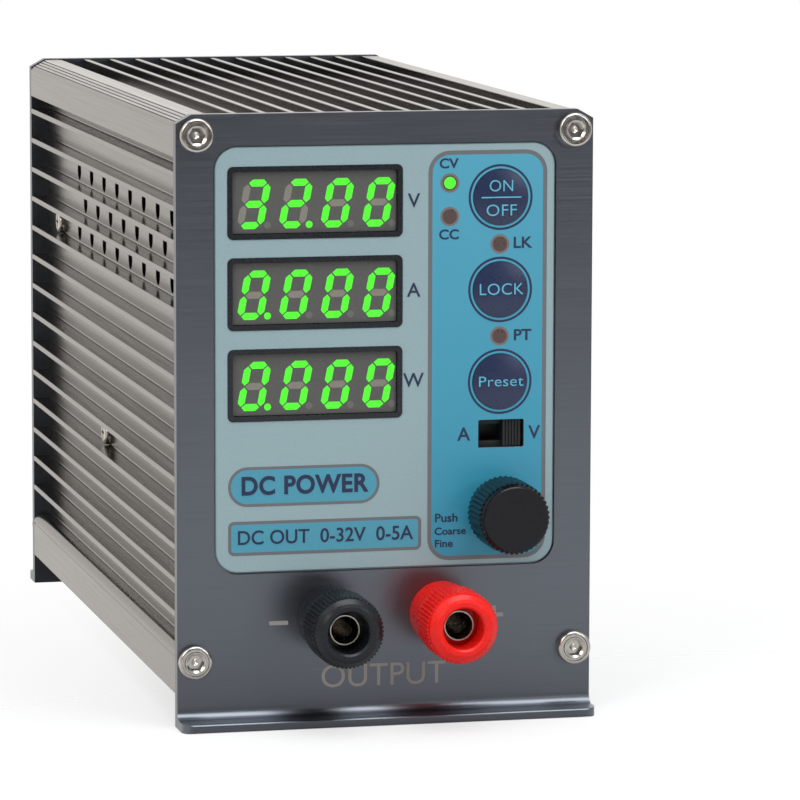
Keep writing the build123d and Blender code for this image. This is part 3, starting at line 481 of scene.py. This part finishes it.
def add_key_words():
    """Pale lettering that rides on each domed key."""
    for name, words, height, rise, stretch in (
            ("on_off", "ON", 2.4, 2.2, 0.98), ("on_off", "OFF", 2.4, -2.7, 1.1),
            ("lock", "LOCK", 2.4, 0.0, 1.04), ("preset", "Preset", 2.2, 0.0, 1.17)):
        key = KEYS[name]
        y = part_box(f"button_{name}")[0].y - INK
        lettering(f"key_word_{words.lower()}", words, (key.x, key.z + rise * MM), height * MM, PALE_INK, y,
                  f"{name}_key", weight=-0.00001, stretch=stretch, gap=1.04)
    key = KEYS["on_off"]
    half, thin = 4.1 * MM, 0.13 * MM
    line = rounded(key.x - half, key.x + half, key.z - thin, key.z + thin, 0.1 * MM)
    printed("key_bar", [line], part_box("button_on_off")[0].y - INK, PALE_INK, "on_off_key")


# Seven segment digits
DIGIT_H = 9.8 * MM
DIGIT_W = 5.4 * MM
SEGMENT = 1.4 * MM
SEGMENT_GAP = 0.2 * MM
POINT = 0.7 * MM
SLANT = math.tan(math.radians(11))
DIGIT_PITCH = 8.44 * MM
FIRST_DIGIT = -30.25 * MM
LIT = {"0": "abcdef", "2": "abged", "3": "abgcd"}
READINGS = {"volts": ("32.00", 104.5 * MM), "amps": ("0.000", 86.45 * MM), "watts": ("0.000", 68.25 * MM)}
POINT_GAP = 0.95 * MM


def bar(x0, z0, x1, z1):
    """Six-sided segment from one corner of the digit's frame to the next."""
    along = Vector((x1 - x0, z1 - z0)).normalized()
    across = Vector((-along.y, along.x)) * SEGMENT / 2
    start, end = Vector((x0, z0)) + along * SEGMENT_GAP, Vector((x1, z1)) - along * SEGMENT_GAP
    half = along * SEGMENT / 2
    return [start, start + half + across, end - half + across,
            end, end - half - across, start + half - across]


def digit_bars():
    """Segment outlines of one upright digit whose lower left corner is the origin."""
    inset = SEGMENT / 2
    left, right = inset, DIGIT_W - inset
    low, middle, high = inset, DIGIT_H / 2, DIGIT_H - inset
    return {"a": bar(left, high, right, high), "b": bar(right, high, right, middle),
            "c": bar(right, middle, right, low), "d": bar(left, low, right, low),
            "e": bar(left, middle, left, low), "f": bar(left, high, left, middle),
            "g": bar(left, middle, right, middle)}


def lean(point, x, z):
    return (x + point[0] + point[1] * SLANT, z + point[1])


LIT_GREEN = new_material("lit_green", (0.02, 0.1, 0.01), 0.5, 0.0,
                         Emission_Color=(0.075, 1.0, 0.02, 1), Emission_Strength=1.0)
DARK_SEGMENT = plastic("dark_segment", (0.21, 0.20, 0.17), 0.5)
DARK_POINT = plastic("dark_point", (0.13, 0.13, 0.12), 0.5)


def add_digits():
    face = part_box("display_modules")[0].y - INK / 2
    bars = digit_bars()
    for name, (reading, z) in READINGS.items():
        base = z - DIGIT_H / 2
        lit, dark, points = [], [], []
        column = -1
        for character in reading:
            if character != ".":
                column += 1
                x = FIRST_DIGIT + column * DIGIT_PITCH
                for key, outline in bars.items():
                    target = lit if key in LIT[character] else dark
                    target.append([lean(point, x, base) for point in outline])
                points.append(ring_of(x + DIGIT_W + POINT_GAP, base + POINT, POINT))
            else:
                lit.append(points.pop())
        printed(f"{name}_lit", lit, face, LIT_GREEN)
        printed(f"{name}_dark", dark, face, DARK_SEGMENT)
        printed(f"{name}_points", points, face, DARK_POINT)


PLUS_PLACE = (0.0225, 0.0206)


def add_panel_marks():
    y = FACE_Y - INK / 2
    lettering("output_word", "OUTPUT", (-0.4 * MM, 9.1 * MM), 4.8 * MM, ENGRAVED, y)
    minus = rounded(-23.8 * MM, -20.0 * MM, 20.2 * MM, 21.0 * MM, 0.1 * MM)
    printed("minus_mark", [minus], y, ENGRAVED)
    arm = ((-0.4, 1.9), (-0.4, 0.4), (-1.9, 0.4), (-1.9, -0.4), (-0.4, -0.4), (-0.4, -1.9),
           (0.4, -1.9), (0.4, -0.4), (1.9, -0.4), (1.9, 0.4), (0.4, 0.4), (0.4, 1.9))
    plus = [(x * MM + PLUS_PLACE[0], z * MM + PLUS_PLACE[1]) for x, z in arm]
    printed("plus_mark", [plus], y, ENGRAVED)


def add_cv_lens():
    """Glowing face of the lit indicator."""
    x, z = LEDS["cv"]
    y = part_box("indicator_leds")[0].y - INK / 2
    printed("cv_glow", [ring_of(x, z, LAMP_LENS)], y, LIT_GREEN)


add_column()
add_plate("name_plate", (-32.1, -1.2, 44.2, 52.2), 3.95 * MM, 0.6 * MM)
add_plate("rating_plate", (-32.1, 7.4, 34.4, 41.3), 1.2 * MM, 0.65 * MM)
add_lettering()
add_key_words()
add_digits()
add_panel_marks()
add_cv_lens()
